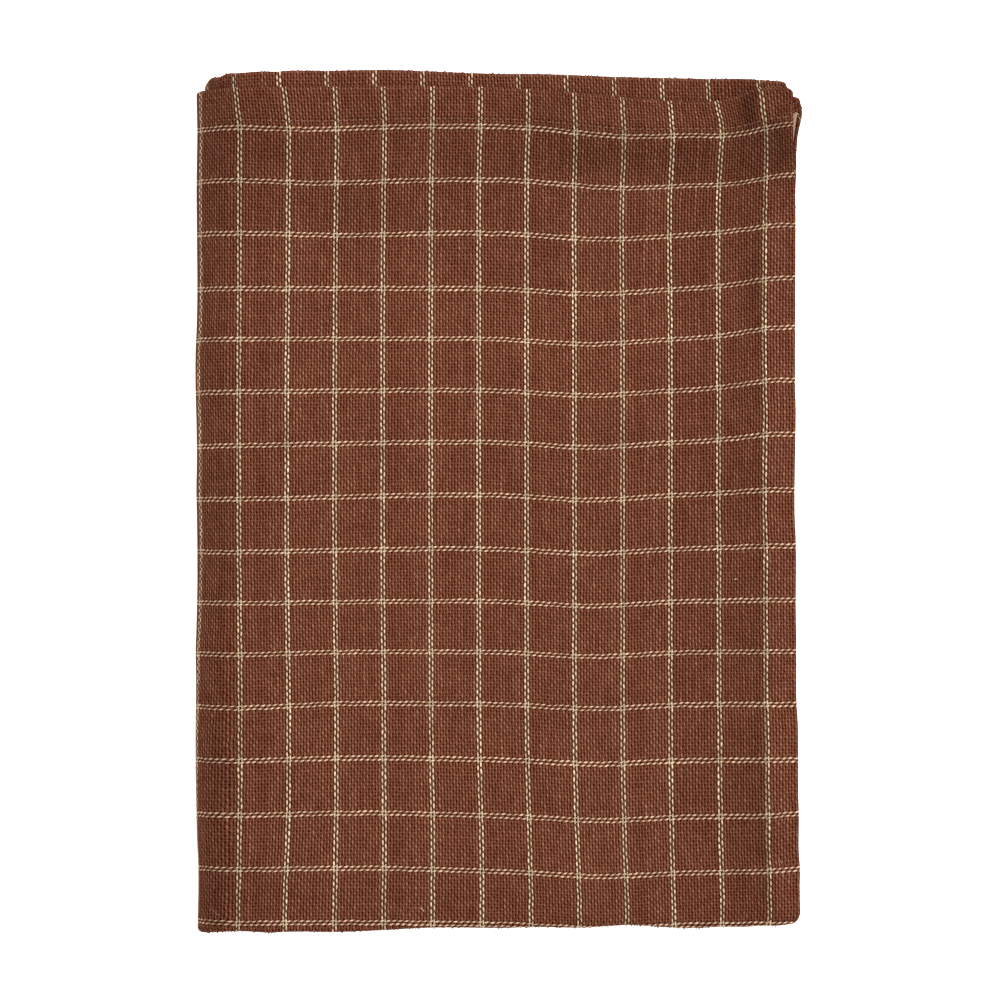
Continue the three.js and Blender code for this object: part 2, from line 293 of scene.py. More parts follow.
# The cloth is one thin sheet. Folded twice across its width it is a band of four plies: ply a with its hem
# at the far edge, near fold, ply b, far fold, ply c, near fold, ply d with its hem at the far edge.
# The band is folded three times along its length into eight passes that lie in one stack.
cloth = {
    "thickness": 1.0,
    "plyPitch": 1.14,
    "passPitch": 4.56,
    "plyLength": 350.0,
    "flatWidth": 1400.0,
    "flatLength": 2000.0,
    "sideHemX": 123.6,
    "lastPassEnd": 120.8,
    "rim": 0.3,
    "rimThreads": 0.4,
}
# The stack's middle is level as far as these lines, and a little fuller past them
levelMiddle = {"x": (-68.1, 71.5), "y": (-124.4, 111.0)}
# How many places the mesh has along the band, on top and where it is hidden, and across it in each ply
fineness = {"top": 106, "hidden": 8, "a": 88, "b": 10, "c": 16, "d": 10, "outerFold": 8, "innerFold": 6}
hem = {
    "depth": 13.0,
    "raise": 0.6,
    "soft": (-1.0, 0.6),
    "sideDepth": 14.0,
    "sideRaise": 0.8,
    "sideSoft": 1.5,
    "roundEdge": 1.6,
    "hiddenBack": 6.5,
    "places": (0.4, 1.0, 1.8, 3.2, 11.0, 11.9, 12.6, 13.3, 14.2),
    "sidePlaces": (0.3, 0.8, 1.5, 13.0),
    "cornerPlaces": (3.0, 6.0, 9.0, 12.0, 16.0, 22.0, 30.0),
}
leftFold = {
    "tip": -125.2,
    "reach": 16.4,
    "pointed": 1.5,
    "droop": 0.14,
    "openThreads": 0.91,
    "edgesUntil": (0.4, 1.0),
    "topUntil": (0.02, 0.35),
}

bandHalf = 1.5 * cloth["plyPitch"] + cloth["thickness"] / 2
leftTurnX = leftFold["tip"] + leftFold["reach"]

# Passes in the order in which the band runs: the level that each lies on, counted from the table, and how
# far its near and far folds stand back from those on top. The turns between them are on the left and on the
# right by turns, so each has its place and its number of steps.
passes = {
    "level": (7, 0, 3, 4, 5, 2, 1, 6),
    "near": (0.0, 1.2, 0.7, 1.7, 0.9, 1.9, 1.1, 0.6),
    "far": (0.0, 1.5, 2.4, 0.9, 1.9, 1.1, 2.2, 2.6),
}
turns = {
    "x": (leftTurnX, 112.4, leftTurnX, 117.0, leftTurnX, 112.4, leftTurnX),
    "steps": (24, 10, 12, 8, 12, 10, 12),
}


def mix(start, end, share):
    return start + (end - start) * share


def smooth(at, low, high):
    t = np.clip((at - low) / (high - low), 0, 1)
    return t * t * (3 - 2 * t)


def along(table, at):
    # A smooth curve through the points of a table
    places = np.array([row[0] for row in table])
    values = np.array([row[1] for row in table])
    slopes = np.zeros(len(table))
    slopes[1:-1] = (values[2:] - values[:-2]) / (places[2:] - places[:-2])
    at = np.clip(at, places[0], places[-1])
    i = np.clip(np.searchsorted(places, at, side="right") - 1, 0, len(table) - 2)
    span = places[i + 1] - places[i]
    rise = values[i + 1] - values[i]
    t = (at - places[i]) / span
    leave = slopes[i] * span - rise
    arrive = rise - slopes[i + 1] * span
    return values[i] + t * rise + t * (1 - t) * (leave * (1 - t) + arrive * t)


def hills(table, x, y):
    # A sum of soft hills. A row of the table is one hill: its place, its spread along X and Y, its height.
    total = 0.0 * x * y
    for atX, atY, spreadX, spreadY, height in table:
        away = ((x - atX) / spreadX) ** 2 + ((y - atY) / spreadY) ** 2
        total = total + height * np.exp(-away)
    return total


def passZ(k):
    return bandHalf + passes["level"][k] * cloth["passPitch"]


stackMiddle = (passZ(0) + passZ(1)) / 2


def bandStops():
    # Stops along the band, from its first free end to its last
    stops = []
    extra = [*levelMiddle["x"], *(cloth["sideHemX"] - back for back in hem["sidePlaces"])]
    topX = np.union1d(np.linspace(cloth["sideHemX"], leftTurnX, fineness["top"]), extra)[::-1]
    for k, (near, far) in enumerate(zip(passes["near"], passes["far"], strict=True)):
        last = k == len(turns["x"])
        face = 1 if k % 2 == 0 else -1
        right = cloth["lastPassEnd"] if last else turns["x"][k - 1 if k % 2 == 0 else k]
        hidden = np.union1d(np.linspace(right, leftTurnX, fineness["hidden"]), levelMiddle["x"])[::-1]
        places = topX if k == 0 else hidden
        for x in places if face > 0 else places[::-1]:
            stops.append((x, passZ(k), 0, face, near, far, k == 0, k == 0, 0, k))
        if not last:
            stops += turnStops(k, face)
    names = ("x", "z", "nx", "nz", "near", "far", "top", "onTop", "bulge", "pass")
    return {name: column[:, None] for name, column in zip(names, np.array(stops, float).T, strict=True)}


def turnStops(k, face):
    # Stops round the turn from pass k to the next one
    turnSide = -1 if k % 2 == 0 else 1
    start = np.sign(passZ(k) - passZ(k + 1))
    radius = abs(passZ(k) - passZ(k + 1)) / 2
    middle = (passZ(k) + passZ(k + 1)) / 2
    stops = []
    for share in np.arange(1, turns["steps"][k]) / turns["steps"][k]:
        outX = turnSide * math.sin(share * math.pi)
        outZ = start * math.cos(share * math.pi)
        near, far = (mix(passes[way][k], passes[way][k + 1], share) for way in ("near", "far"))
        top = 1 - smooth(share, *leftFold["edgesUntil"]) if k == 0 else 0
        onTop = 1 - smooth(share, *leftFold["topUntil"]) if k == 0 else 0
        bulge = math.sin(share * math.pi) if k == 0 else 0
        x, z = turns["x"][k] + radius * outX, middle + radius * outZ
        out = (start * face * outX, start * face * outZ)
        stops.append((x, z, *out, near, far, top, onTop, bulge, k + share))
    return stops


# The hidden plies: where ply b starts at the near fold, and how long plies b and d are
plyB = {"nearY": -175.4, "length": 353.0}
plyD = {"length": 346.0}


def bandColumns():
    # Places across the band, from the hem of ply a to the hem of ply d. n is the height in the band, and
    # (outY, outN) points out of the cloth's face side. A place lies at a share t between two edges.
    columns = []
    pitch = cloth["plyPitch"]

    def ply(name, n, out, start, end, extra):
        for t in np.union1d(np.linspace(0, 1, fineness[name]), extra):
            columns.append((name, n, 0.0, 0.0, out, start, end, t, setBack[name]))

    def fold(name, n, radius, edge, turn, face, steps):
        way = -1 if edge == "near" else 1
        for share in np.arange(1, steps) / steps:
            cos = turn * math.cos(share * math.pi)
            sin = way * math.sin(share * math.pi)
            back = mix(setBack[name[0]], setBack[name[1]], share)
            place = (n + radius * cos, radius * sin, face * sin, face * cos)
            columns.append((name, *place, edge, edge, 0.0, back))

    # Further places in the hem, where the stack grows fuller, and at the hem corners behind
    inHem = np.array(hem["places"]) / cloth["plyLength"]
    atLevel = (np.array(levelMiddle["y"]) - plyB["nearY"]) / plyB["length"]
    atCorner = 1 - np.array(hem["cornerPlaces"]) / plyD["length"]
    outer, inner = fineness["outerFold"], fineness["innerFold"]
    ply("a", 1.5 * pitch, 1, "hem", "near", inHem)
    fold("ab", 0.0, 1.5 * pitch, "near", 1, 1, outer)
    ply("b", -1.5 * pitch, -1, "near", "far", atLevel)
    fold("bc", -pitch, 0.5 * pitch, "far", -1, 1, inner)
    ply("c", -0.5 * pitch, 1, "far", "near", 1 - atLevel)
    fold("cd", 0.0, 0.5 * pitch, "near", -1, -1, outer)
    ply("d", 0.5 * pitch, -1, "near", "twin", atCorner)
    keys = ("ply", "n", "dy", "outY", "outN", "start", "end", "t", "back")
    return {key: np.array(values) for key, values in zip(keys, zip(*columns, strict=True), strict=True)}


# The stack is a little fuller towards its edges: from where, as far as where, and by what share of its
# height. The fold's tip droops.
fullness = [
    ("x", levelMiddle["x"][0], leftTurnX, 0.02),
    ("x", levelMiddle["x"][1], cloth["sideHemX"], 0.01),
    ("y", levelMiddle["y"][0], -178.0, 0.02),
    ("y", levelMiddle["y"][1], 178.0, 0.01),
]


def heightShare(x, y):
    # Height of the stack at a place, as a share of its plain height
    share = 1 - leftFold["droop"] * np.clip((leftTurnX - x) / leftFold["reach"], 0, None)
    for axis, start, end, more in fullness:
        past = ((x if axis == "x" else y) - start) / (end - start)
        share = share + more * np.clip(past, 0, 1.2)
    return share


def pressed(x, z):
    # The nested turns on the left are pressed from round into pointed ones
    power = leftFold["pointed"]
    dx = np.clip(leftTurnX - x, 1e-9, None)
    dz = z - stackMiddle
    squeeze = np.hypot(dx, dz) / (dx**power + np.abs(dz) ** power) ** (1 / power)
    left = x < leftTurnX
    newX = np.where(left, leftTurnX - dx * squeeze * leftFold["reach"] / stackMiddle, x)
    return newX, np.where(left, stackMiddle + dz * squeeze, z)


# Outlines of the top pass from above, each a list of (place along the edge, where the edge lies). The
# last ply lies a little askew, so that its corner sticks out at the far right.
hemEdge = [
    (-125.4, 169.8), (-122.8, 171.6), (-119.4, 172), (-111.4, 172.4), (-7.7, 172.7),
    (31.1, 170.3), (70.2, 166.9), (90.6, 166.6), (101.5, 169), (108, 171.4), (114, 172.4),
    (121, 172.9), (122.1, 172.5), (122.8, 172), (123.3, 171.4), (123.6, 170.7),
]
farFoldEdge = [
    (-124.4, 173.8), (-123, 175.8), (-121.4, 177.5), (-119.6, 177.9), (-117.6, 177.6),
    (-116, 178.1), (-114, 178.8), (-111, 178.6), (-106, 178.9), (-99, 179.4), (-93, 179.3),
    (-86, 179.8), (-73, 179.7), (-49, 180.1), (-31, 179.6), (-12, 178.8), (1, 178.4),
    (15, 178.4), (26, 178.1), (38, 177.6), (51, 177.1), (69, 176.7), (88, 176.3), (104, 176.3),
    (113, 175.8), (117.6, 175.5), (121.2, 175.3), (122.6, 174.7), (123.3, 173.8),
    (123.6, 172.6),
]
nearFoldEdge = [
    (-126, -181.8), (-124.6, -181.8), (-122, -181.1), (-116, -180.1), (-109, -179.2),
    (-95, -179.8), (-84, -179.4), (-68, -179.6), (-50, -178.9), (-32, -177.9), (-20, -177.7),
    (0, -177.9), (13, -177.5), (32, -177.8), (44, -177.1), (51, -176.7), (59, -177),
    (66, -177.5), (75, -177.9), (84, -177.8), (94, -177.3), (101, -177.5), (107, -177),
    (114.5, -177), (119.4, -176.5), (122, -175.9), (123, -175.2), (123.6, -174.2),
]
sideHemEdge = [
    (-176, 125.6), (-172, 125.9), (-160, 125.6), (-153.6, 125.7), (-145, 125.1), (-132, 125.2),
    (-120, 124.9), (-94, 124.8), (-84, 124.2), (-77, 124.1), (-57, 124.1), (-45, 123.9),
    (-20, 124), (-4, 123.4), (13, 123.5), (38, 123.9), (46, 123.6), (110, 123.8), (128, 123.7),
    (139.9, 123.2), (150, 122.8), (162, 122.6), (170.6, 122.6), (171.8, 121.9), (173, 121),
]
lastPlyEdge = [
    (-110, 123.4), (110, 123.4), (125, 123.6), (133, 124.3), (148, 124.5), (153.8, 125.2),
    (158.8, 126.4), (161.4, 126.8), (164.2, 126.6), (166.1, 126.4), (167.6, 125.8),
    (168.6, 124.4), (169.2, 122.5),
]
leftBulge = [
    (-178, 1.1), (-166, 0.8), (-153.6, 0.8), (-140, 1.4), (-124, 1.7), (-112, 1.9), (-95, 1.9),
    (-75, 1.7), (-62, 1.9), (-54, 1.6), (-35, 1.2), (-10, 1.3), (5, 1.6), (15, 1.4), (30, 1.5),
    (46, 1.9), (55, 2), (63, 1.9), (75, 1.4), (90, 1.2), (105, 1.3), (130, 1.5), (140, 1.4),
    (155, 1.2), (165, 1.4), (171, 1.5),
]
# How far the edge of each ply stands back, the second hem too, in general and at its right corner
setBack = {"a": 0.0, "b": 1.0, "c": 0.8, "d": 0.5, "farRight": -0.5, "twin": 1.6, "twinCorner": 2.8}
cornerFrom = {"x": (108.0, 121.0), "y": (158.0, 170.0)}


def edgesOf(stops):
    # Where the band's edges lie at each stop
    x = pressed(stops["x"], stops["z"])[0]
    far = along(farFoldEdge, x) - stops["far"]
    hemY = mix(far - hem["hiddenBack"], along(hemEdge, x), stops["top"]) - cloth["rim"]
    corner = smooth(x, *cornerFrom["x"]) * stops["top"]
    return {
        "near": along(nearFoldEdge, x) + stops["near"] + bandHalf,
        "far": far - cloth["plyPitch"] / 2 - cloth["thickness"] / 2,
        "hem": hemY,
        "twin": hemY - mix(setBack["twin"], setBack["twinCorner"], corner),
    }


# The check: where its first cream pairs lie, and how the yarns lean, crowd and shift along the edges
check = {
    "firstPick": 16.6,  # from the cloth's far edge
    "firstPickY": 156.3,
    "firstEndX": 112.0,
    "hemLeanDepth": 17.0,
    "leanEase": (-8.0, 1.0),
    "farSkew": -3.5,  # behind the hem
    "farSkewFrom": {"x": (-125.0, -100.0), "y": (110.0, 172.0), "right": (86.0, 106.0), "rightShare": 0.9},
    "farCorner": 4.0,  # at the top left, behind the hem
    "farCornerFrom": (-119.0, -112.0),
    "hemTight": 0.8,  # near the side hem
    "hemTightFrom": (94.0, 109.0),
    "behindUntil": (0.1, 0.6),  # in passes
    "tipFrom": -110.5,  # round the left fold
    "tipLong": 12.0,
    "pushedLong": 32.0,  # before the near fold
    "pushedUnder": 60.0,  # past it, underneath
    "countedX": -17.7,  # where the picks are counted
    "stretch": {"c": 1.0116, "d": 1.0112},
}
# How the yarns of the top ply wander from straight lines, as tables of hills: x, y, spread along x, spread
# along y, and how far the yarns move there
wavesEase = {"left": (-126.0, -104.0), "rightFrom": 112.0, "underFold": 0.15}
pickWaves = [
    (68, 168, 32, 45, -3.2),
    (42, 0, 26, 900, -1.6),
    (124, 78, 26, 72, 3.9),
    (-112, 0, 60, 48, -1.9),
    (-80, 152, 26, 30, -1.4),
    (-55, -131, 45, 42, 1.2),
    (0, 8, 900, 48, 1.6),
    (0, -82, 900, 38, 2.8),
    (0, 88, 900, 15, -1.2),
    (98, 150, 17, 24, -2.9),
    (60, 140, 24, 34, -0.7),
    (30, 40, 26, 120, -0.9),
    (114, 38, 20, 60, 1.2),
    (-112, -85, 28, 26, -1.7),
    (-60, 122, 30, 20, -1.1),
    (50, -158, 70, 22, -1.1),
    (-126, 150, 11, 20, -0.7),
    (-126, 26, 11, 24, -0.5),
    (124, -142, 9, 19, 1.5),
]
endWaves = [
    (38, -178, 58, 28, 1.9),
    (-88, -182, 22, 20, -0.6),
    (72, 116, 42, 34, -0.45),
    (-97, -130, 24, 28, 0.4),
    (92, 158, 10, 9, 1.2),
    (-109, -60, 12, 60, 0.3),
    (-80, -88, 40, 40, 0.8),
    (-75, 145, 40, 30, 0.8),
    (98, 147, 50, 16, 1.1),
    (112, 75, 12, 25, -0.3),
    (2, -142, 68, 32, 1),
    (-95, 95, 36, 35, 0.4),
    (-88, -162, 14, 24, -0.6),
    (0, 170, 110, 22, 0.8),
]
# How far the stripe on the left fold lies round towards the tip, from place to place along the fold
tipStripe = [
    (-180, 5.1), (-145, 4.7), (-108, 3.7), (-70, 2.2), (-41, 1.4), (-16, 0.9), (20, 1.3),
    (60, 1.5), (85, 0.95), (180, 0.95),
]
# How far the threads lean over to the left at the far hem's edge
hemLean = [
    (-112, -1.8), (-88, -1.8), (-69, -0.8), (-48, -0.7), (-28, -0.1), (12, -0.1), (31, -0.9),
    (72, -1), (92, -1.7), (104, -1.7), (114, -1.2), (123.6, 0.2),
]


def pickLine(stops, edges, t):
    # Y of places on the top ply, from its hem (t = 0) to the near fold (t = 1), and how far the places
    # before the fold are pushed along the threads
    x = stops["x"]
    v = t * cloth["plyLength"]
    straight = check["firstPickY"] + check["firstPick"] - v
    firstLine = check["firstPickY"] + hills(pickWaves, x, check["firstPickY"])
    inHem = edges["hem"] + (firstLine - edges["hem"]) * v / check["firstPick"]
    inside = straight + hills(pickWaves, x, np.minimum(straight, check["firstPickY"]))
    end = straight[..., -1:]
    atFold = edges["near"] - (end + hills(pickWaves, x, end))
    pushed = atFold * smooth(straight, end + check["pushedLong"], end)
    return np.where(v < check["firstPick"], inHem, inside) + pushed, pushed


def clothPoints(stops, columns, side):
    # Points of the face side (1), the back (-1) or the middle (0) of the cloth
    edges = edgesOf(stops)
    half = side * cloth["thickness"] / 2
    names, t = columns["ply"], columns["t"]
    start = np.hstack([edges[name] for name in columns["start"]])
    end = np.hstack([edges[name] for name in columns["end"]])
    y = mix(start, end, t) + columns["dy"] + half * columns["outY"]
    plyA = names == "a"
    y[:, plyA] = mix(y[:, plyA], pickLine(stops, edges, t[plyA])[0], stops["top"])
    height = columns["n"] + half * columns["outN"]
    x, z = pressed(stops["x"] + height * stops["nx"], stops["z"] + height * stops["nz"])

    # The side hem's edge is a little wavy
    levelX = levelMiddle["x"][1]
    right = (stops["onTop"] > 0) & (x > levelX)
    farPart = np.isin(names, ("b", "bc", "c")) * setBack["farRight"] * smooth(y, *cornerFrom["y"])
    edgeX = along(sideHemEdge, y) - columns["back"] - farPart
    edgeX = np.where(names == "d", along(lastPlyEdge, y), edgeX) - cloth["rim"]
    x = np.where(right, mix(levelX, edgeX, (x - levelX) / (cloth["sideHemX"] - levelX)), x)
    z = z * heightShare(x, y)

    # The top ply's own unevenness
    v = t * cloth["plyLength"]
    onTop = stops["onTop"] * plyA
    z = z + onTop * (topRise(x, y) + (side > 0) * hemRise(stops["x"], v))
    ontoFold = plyA + (names == "ab") * (0.5 + columns["n"] / (3 * cloth["plyPitch"]))
    x = x - stops["bulge"] * ontoFold * along(leftBulge, y)
    inside = smooth(x, *wavesEase["left"]) * (1 - smooth(x, wavesEase["rightFrom"], cloth["sideHemX"]))
    lean = along(hemLean, x) * np.clip(1 - v / check["hemLeanDepth"], 0, 1)
    underFold = (names == "b") * np.clip(1 - t / wavesEase["underFold"], 0, 1)
    roundFold = np.where(names == "ab", 1.0, underFold) + plyA
    x = x + stops["onTop"] * roundFold * inside * hills(endWaves, x, y)
    leanFrom, leanTo = (leftTurnX + past for past in check["leanEase"])
    x = x + onTop * smooth(x, leanFrom, leanTo) * lean
    return np.stack([x, y, z], axis=-1)


# The top ply lies loose on the one below, and stands off by more or less. A crease is a long soft ridge or
# trough: x, y, its turn from X in degrees, its length, its width, its height. A rise is a level area with
# soft sides.
loose = {"height": 1.4, "left": 26.0, "near": 22.0}
creases = [
    (102, 166, 88, 9, 2.4, -1.2),
    (103, 92, 91, 30, 4.5, -1.1),
    (62, 154, -5, 46, 8, 2.2),
    (-98, 153, 4, 34, 9, 1.6),
    (60, 134, -3, 54, 8, -1),
    (-66, 118, 12, 22, 9, -1),
    (0, 98, 0, 140, 24, -0.9),
]
rises = [
    {"x": (68.0, 108.0), "xEnd": (110.5, 128.0), "y": (-900.0, -899.0), "by": 1.5},
    {"x": (102.8, 107.6), "xEnd": (900.0, 901.0), "y": (149.0, 158.0), "by": 1.8},
    {"x": (115.5, 119.5), "xEnd": (900.0, 901.0), "y": (136.0, 144.0), "by": 1.0},
]


def topRise(x, y):
    total = loose["height"] + 0.0 * x * y
    for atX, atY, degrees, long, wide, height in creases:
        cos, sin = math.cos(math.radians(degrees)), math.sin(math.radians(degrees))
        onward = (x - atX) * cos + (y - atY) * sin
        beside = (y - atY) * cos - (x - atX) * sin
        total = total + height * np.exp(-((onward / long) ** 2 + (beside / wide) ** 2))
    for rise in rises:
        across = smooth(x, *rise["x"]) * (1 - smooth(x, *rise["xEnd"]))
        total = total + rise["by"] * across * smooth(y, *rise["y"])
    nearEdge = along(nearFoldEdge, x) + bandHalf
    held = smooth(x, leftTurnX, leftTurnX + loose["left"]) * smooth(y, nearEdge, nearEdge + loose["near"])
    return np.maximum(total, 0) * held


def hemRise(x, v):
    # The far hem is a raised band with a round edge, held down along its stitching. So is the side hem.
    rounded = np.sqrt(np.clip(1 - (1 - np.clip(v / hem["roundEdge"], 0, 1)) ** 2, 0, 1))
    far = hem["raise"] * rounded * (1 - smooth(v, *(hem["depth"] + past for past in hem["soft"])))
    ends = (hem["sideDepth"] - hem["sideSoft"], hem["sideDepth"] + hem["sideSoft"])
    side = hem["sideRaise"] * (1 - smooth(cloth["sideHemX"] - x, *ends))
    return np.maximum(far, side)


def threadPlaces(stops, columns):
    # Which thread lies where, counted across and along the cloth
    middle = clothPoints(stops, columns, 0)
    names, t = columns["ply"], columns["t"]
    steps = np.linalg.norm(np.diff(middle, axis=0), axis=-1)
    rowA = np.argmin(np.abs(t - 0.5) + (names != "a"))
    rowB = np.argmin(np.abs(t - 0.5) + (names != "b"))
    outer = stops["pass"][1:, 0] < 1
    inTurn = (outer & (stops["pass"][1:, 0] > 0)).astype(float)
    length = np.where(outer, steps[:, rowA], (steps[:, rowA] + steps[:, rowB]) / 2)
    length = length * mix(1.0, leftFold["openThreads"], inTurn)
    fromEnd = np.concatenate([[0], np.cumsum(length)])[:, None]
    firstEnd = cloth["sideHemX"] - check["firstEndX"]
    behind = np.isin(names, ("b", "bc", "c")) * (1 - smooth(stops["pass"], *check["behindUntil"]))
    x, y = middle[..., 0], middle[..., 1]
    where = check["farSkewFrom"]
    skew = check["farSkew"] * behind * smooth(y, *where["y"]) * smooth(x, *where["x"])
    skew = skew * (1 - where["rightShare"] * smooth(x, *where["right"]))
    skew = skew - behind * check["farCorner"] * (1 - smooth(x, *check["farCornerFrom"]))
    skew = skew - check["hemTight"] * smooth(x, *check["hemTightFrom"])
    onTip = np.clip((check["tipFrom"] - x) / check["tipLong"], 0, 1) * (stops["pass"] < 1)
    skew = skew - (1 - behind) * onTip * along(tipStripe, y)
    u = (fromEnd + skew - firstEnd) / weave["endPitch"] + weave["repeat"] + 1

    sample = np.argmin(np.abs(stops["x"][:, 0] - check["countedX"]) + (stops["onTop"][:, 0] == 0) * 1e3)
    across = np.linalg.norm(np.diff(middle[sample], axis=0), axis=-1)
    for ply, stretch in check["stretch"].items():
        across[names[1:] == ply] *= stretch
    v = np.concatenate([[0], np.cumsum(across)])
    isA = names == "a"
    v = np.where(isA, t * cloth["plyLength"], v - v[isA][-1] + cloth["plyLength"])
    pushed = np.zeros(u.shape)
    pushed[:, isA] = pickLine(stops, edgesOf(stops), t[isA])[1] * stops["top"]
    under = (v[~isA] - cloth["plyLength"]) / check["pushedUnder"]
    pushed[:, ~isA] = pushed[:, isA][:, -1:] * np.clip(1 - under, 0, 1)
    v = (v - pushed - check["firstPick"]) / weave["pickPitch"] + weave["repeat"] + 1
    print("  threads run to", round(float(u[-1, 0])), "by", round(float(v[-1, -1])), "flat", end=" ")
    print(round(float(fromEnd[-1, 0])), "by", round(float((v[0, -1] - v[0, 0]) * weave["pickPitch"])), "mm")
    return np.stack([u, v], axis=-1)


# Soft hills of lighter or darker colour, each row one hill: painted shade and light, with some uneven dye.
# They paint shade below the far hem, left of the side hem, in the dents at the far right, beside the tape
# and along both folds, and paint light in a few broad patches and on the left fold's tip.
dyeAndShadeHills = [
    (100, 0, 17, 900, -0.05),
    (103, 92, 6, 32, -0.1),
    (108, -60, 4, 90, -0.07),
    (100, -128, 16, 26, -0.05),
    (119, -142, 10, 13, -0.09),
    (119, 120, 9, 50, -0.05),
    (62, 163, 14, 8, -0.05),
    (62, 143, 50, 9, -0.14),
    (28, 162, 16, 14, -0.12),
    (50, 172, 34, 4, -0.07),
    (-98, 142, 26, 10, -0.1),
    (-10, 154, 300, 32, -0.1),
    (32, 141, 15, 6, -0.08),
    (-100, 163, 10, 12, -0.05),
    (-62, 122, 18, 9, -0.07),
    (-46, 158, 16, 9, -0.06),
    (0, 64, 110, 24, 0.05),
    (-80, -60, 40, 60, 0.03),
    (-119, -112, 9, 32, -0.07),
    (-114, 70, 5, 70, 0.09),
    (-121.5, 0, 5, 900, -0.12),
    (0, -175, 300, 9, -0.05),
    (-106, -164, 22, 15, -0.12),
    (-122, -165, 6, 26, -0.06),
    (103.5, 163, 5.5, 13, -0.27),
    (116.5, 150, 5.5, 15, -0.3),
    (126.5, 146, 2.6, 22, -0.4),
    (107, -132, 5, 20, -0.1),
    (103, 20, 4.5, 900, -0.05),
    (-20, -10, 45, 120, 0.035),
    (62, 40, 18, 150, -0.02),
    (-20, 134, 32, 14, -0.04),
    (120, 150, 7, 28, -0.04),
    (-124.9, 30, 1.4, 80, 0.1),
]


def gridSheet(name, face, back, places, rim):
    # A closed thin body from two grids of points, with a round rim
    rows, width = face.shape[:2]
    ring = [(r, 0) for r in range(rows)]
    ring += [(rows - 1, c) for c in range(1, width)]
    ring += [(r, width - 1) for r in range(rows - 2, -1, -1)]
    ring += [(0, c) for c in range(width - 2, 0, -1)]
    ring = np.array(ring)
    inner = np.stack([np.clip(ring[:, 0], 1, rows - 2), np.clip(ring[:, 1], 1, width - 2)], axis=-1)
    r, c = ring.T
    middle = (face + back) / 2
    outward = middle[r, c] - middle[inner[:, 0], inner[:, 1]]
    outward /= np.linalg.norm(outward, axis=-1, keepdims=True)
    edgePoints = middle[r, c] + rim * outward
    rimPlaces = places[r, c] + cloth["rimThreads"] * np.sign(ring - inner)

    points = np.concatenate([face.reshape(-1, 3), back.reshape(-1, 3), edgePoints])
    threads = np.concatenate([places.reshape(-1, 2), places.reshape(-1, 2), rimPlaces])
    grid = np.arange(rows * width).reshape(rows, width)
    corners = (grid[:-1, :-1], grid[1:, :-1], grid[1:, 1:], grid[:-1, 1:])
    top = np.stack(corners, axis=-1).reshape(-1, 4)
    under = top[:, ::-1] + rows * width
    edge = grid[r, c]
    ahead = np.roll(edge, -1)
    rimId = 2 * rows * width + np.arange(len(ring))
    rimAhead = np.roll(rimId, -1)
    upper = np.stack([ahead, edge, rimId, rimAhead], axis=-1)
    lower = np.stack([rimAhead, rimId, edge + rows * width, ahead + rows * width], axis=-1)
    faces = np.concatenate([top, under, upper, lower])

    mesh = bpy.data.meshes.new(name)
    mesh.vertices.add(len(points))
    mesh.vertices.foreach_set("co", inFrame(points).ravel())
    mesh.loops.add(faces.size)
    mesh.loops.foreach_set("vertex_index", faces.ravel())
    mesh.polygons.add(len(faces))
    mesh.polygons.foreach_set("loop_start", np.arange(0, faces.size, 4))
    mesh.update(calc_edges=True)
    layer = mesh.uv_layers.new(name="threads")
    layer.data.foreach_set("uv", threads[faces.ravel()].ravel())
    # Each point's dye attribute: painted shade and light, with some uneven dye
    colouring = mesh.attributes.new("dyeAndShade", "FLOAT", "POINT")
    colouring.data.foreach_set("value", 1 + hills(dyeAndShadeHills, points[:, 0], points[:, 1]))
    mesh.polygons.foreach_set("use_smooth", np.ones(len(faces), bool))
    mesh.validate()
    return newObject(name, mesh)


def inFrame(points):
    return (np.asarray(points) + (origin["x"], origin["y"], 0)) * metres


print("cloth")
stops = bandStops()
columns = bandColumns()
faceGrid = clothPoints(stops, columns, 1)
backGrid = clothPoints(stops, columns, -1)
threadGrid = threadPlaces(stops, columns)
tablecloth = gridSheet("woven_cloth", faceGrid, backGrid, threadGrid, cloth["rim"])
tablecloth.data.materials.append(wovenCotton())
print("  rows and columns", faceGrid.shape[:2], "triangles", 2 * len(tablecloth.data.polygons))

# A short tape lies between ply a and ply d, a little turned, and its outer edge shows past the hem
tab = {
    "width": 8.5,
    "length": 25.0,
    "thickness": 0.5,
    "x": 118.55,
    "y": 149.2,
    "turn": -0.05,
    "bend": 0.0063,
    "lift": 0.32,
    "places": (12, 34),
    "rim": 0.15,
    "wave": 0.08,
    "waveStep": 0.55,
}


def makeTape():
    across = np.linspace(-0.5, 0.5, tab["places"][0]) * tab["width"]
    lengthwise = np.linspace(-0.5, 0.5, tab["places"][1]) * tab["length"]
    x, y = np.meshgrid(across, lengthwise, indexing="ij")
    plyTop = (passZ(0) + 0.5 * cloth["plyPitch"] + cloth["thickness"] / 2) * heightShare(tab["x"], tab["y"])
    wavy = tab["wave"] * np.sin(y * tab["waveStep"] + 1.0) * (x / tab["width"] + 0.5)
    turnedX = tab["x"] + x * math.cos(tab["turn"]) - y * math.sin(tab["turn"]) + tab["bend"] * y * y
    turnedY = tab["y"] + x * math.sin(tab["turn"]) + y * math.cos(tab["turn"])
    middle = plyTop + tab["lift"] + tab["thickness"] / 2 + wavy
    sides = [np.stack([turnedX, turnedY, middle + s * tab["thickness"] / 2], axis=-1) for s in (1, -1)]
    places = np.stack([x, y], axis=-1)
    made = gridSheet("side_tape", *sides, places, tab["rim"])
    made.data.materials.append(wovenTape())
    return made


print("tape")
tape = makeTape()

# Running stitches hold both hems down
stitch = {
    "pitch": 2.9,
    "length": 1.7,
    "radius": 0.2,
    "uneven": ((0.85, 0.9, 0.9), (1.15, 1.1, 1.1)),
    "seed": 5,
    "lift": 0.03,
    "fromEdge": 13.3,
    "skipped": 3,
    "colour": ("#b98a70", "#7c4e3a"),
}


